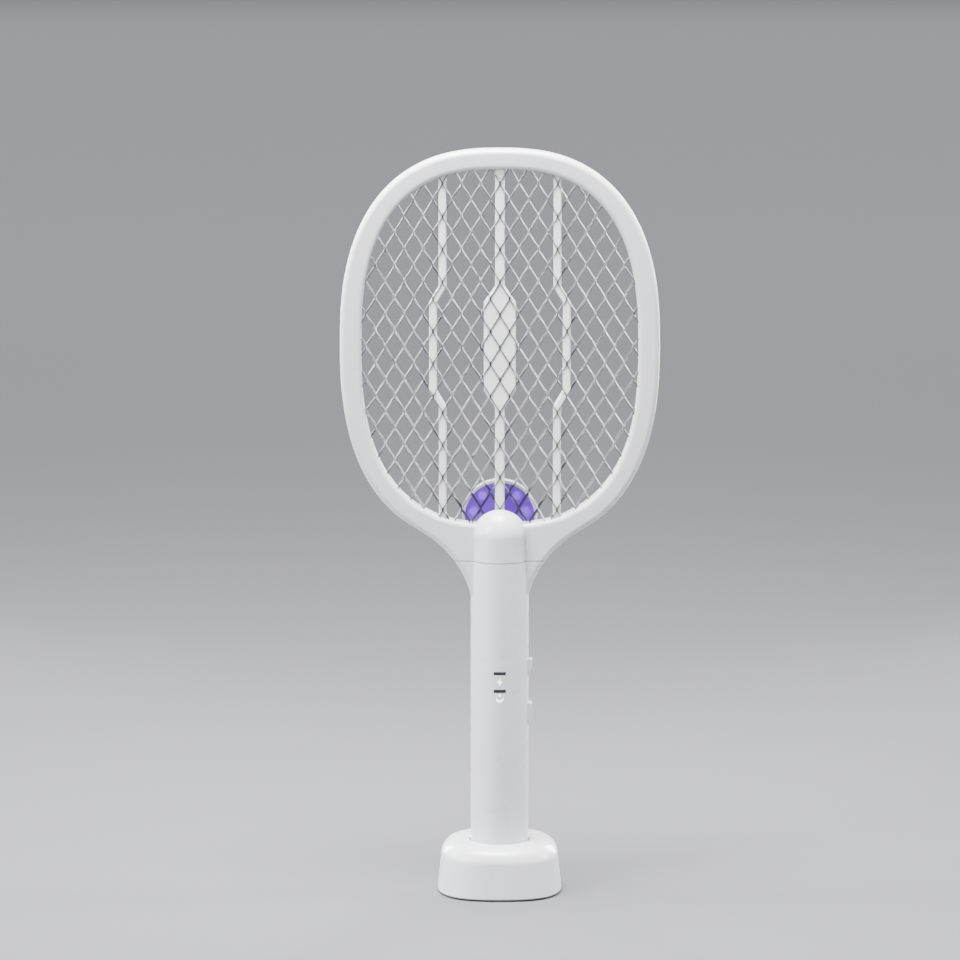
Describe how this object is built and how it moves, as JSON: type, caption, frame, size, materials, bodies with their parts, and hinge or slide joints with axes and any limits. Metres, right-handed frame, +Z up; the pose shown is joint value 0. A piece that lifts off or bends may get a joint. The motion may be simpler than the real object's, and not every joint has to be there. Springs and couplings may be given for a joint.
{
  "type": "electric fly swatter",
  "caption": "White racket-shaped electric fly swatter with metal diamond nets and a violet lamp, standing upright in a charging dock; it lifts out, with a mode slider and a press button.",
  "frame": {"origin": "on the table under the middle of the dock, the bottom centre of the whole object's box", "axes": "+Z up along the handle, front face with the indicators towards -Y, press button and slider on +X"},
  "size_m": [0.18, 0.069, 0.425],
  "materials": {
    "white_shell": "satin-gloss moulded ABS",
    "foot_rubber": "matt foam rubber",
    "green_board": "solder mask on glass fibre",
    "inlet_metal": "stamped and tinned sheet",
    "contact_gold": "gold plated",
    "screw_steel": "zinc plated",
    "net_steel": "bright expanded metal",
    "live_net_steel": "bright expanded metal",
    "white_ribs": "satin moulded ABS",
    "violet_lens": "clear violet-tinted polycarbonate",
    "violet_led": "clear epoxy, lit violet",
    "cell_sleeve": "shrink sleeve over a metal can",
    "nickel_tab": "nickel strip",
    "yellow_tape": "polyester tape over a ferrite core",
    "red_film": "dipped epoxy",
    "dark_component": "sleeved capacitor",
    "black_plastic": "moulded",
    "indicator_led": "clear epoxy on ceramic",
    "smoked_window": "smoked clear acrylic",
    "red_wire": "PVC insulation",
    "black_wire": "PVC insulation",
    "orange_wire": "PVC insulation",
    "white_controls": "satin-gloss moulded ABS",
    "switch_nylon": "nylon"
  },
  "bodies": {
    "dock": {"dock_shell": "white_shell", "dock_base_plate": "white_shell", "dock_foot_pad": "foot_rubber", "dock_board": "green_board", "dock_usb_inlet": "inlet_metal", "dock_pin_barrels": "contact_gold", "dock_screws": "screw_steel"},
    "left_pin": {"charge_pin_left": "contact_gold"},
    "right_pin": {"charge_pin_right": "contact_gold"},
    "swatter": {"head_front_frame": "white_shell", "head_rear_frame": "white_shell", "front_net": "net_steel", "rear_net": "net_steel", "live_net": "live_net_steel", "front_rib_carrier": "white_ribs", "rear_rib_carrier": "white_ribs", "head_screws": "screw_steel", "lamp_cover": "white_shell", "lamp_lens": "violet_lens", "lamp_board": "green_board", "lamp_leds": "violet_led", "handle_front_shell": "white_shell", "handle_rear_shell": "white_shell", "handle_end_cap": "white_shell", "charge_contacts": "contact_gold", "handle_screws": "screw_steel", "battery_cell": "cell_sleeve", "battery_tabs": "nickel_tab", "main_board": "green_board", "step_up_transformer": "yellow_tape", "high_voltage_capacitor": "red_film", "board_components": "dark_component", "board_chips": "black_plastic", "slide_switch_housing": "inlet_metal", "press_switch_housing": "black_plastic", "indicator_leds": "indicator_led", "indicator_light_pipes": "smoked_window", "battery_lead_red": "red_wire", "battery_lead_black": "black_wire", "charge_leads": "orange_wire", "high_voltage_leads": "red_wire", "lamp_leads": "black_wire"},
    "slider": {"mode_slider_knob": "white_controls", "slide_switch_lever": "black_plastic"},
    "zap_button": {"press_button": "white_controls", "press_switch_plunger": "switch_nylon"}
  },
  "joints": [
    {"name": "lift_off", "type": "slide", "parent": "dock", "child": "swatter", "axis": [0, 0, 1], "range_m": [0, 0.08]},
    {"name": "mode_slide", "type": "slide", "parent": "swatter", "child": "slider", "axis": [0, 0, 1], "range_m": [-0.002, 0.002]},
    {"name": "button_press", "type": "slide", "parent": "swatter", "child": "zap_button", "axis": [-1, 0, 0], "range_m": [0, 0.0012], "stiffness_N_per_m": 80, "springref_m": -0.004},
    {"name": "left_pin_press", "type": "slide", "parent": "dock", "child": "left_pin", "axis": [0, 0, -1], "range_m": [0, 0.001], "stiffness_N_per_m": 20, "springref_m": -0.002},
    {"name": "right_pin_press", "type": "slide", "parent": "dock", "child": "right_pin", "axis": [0, 0, -1], "range_m": [0, 0.001], "stiffness_N_per_m": 20, "springref_m": -0.002}
  ]
}
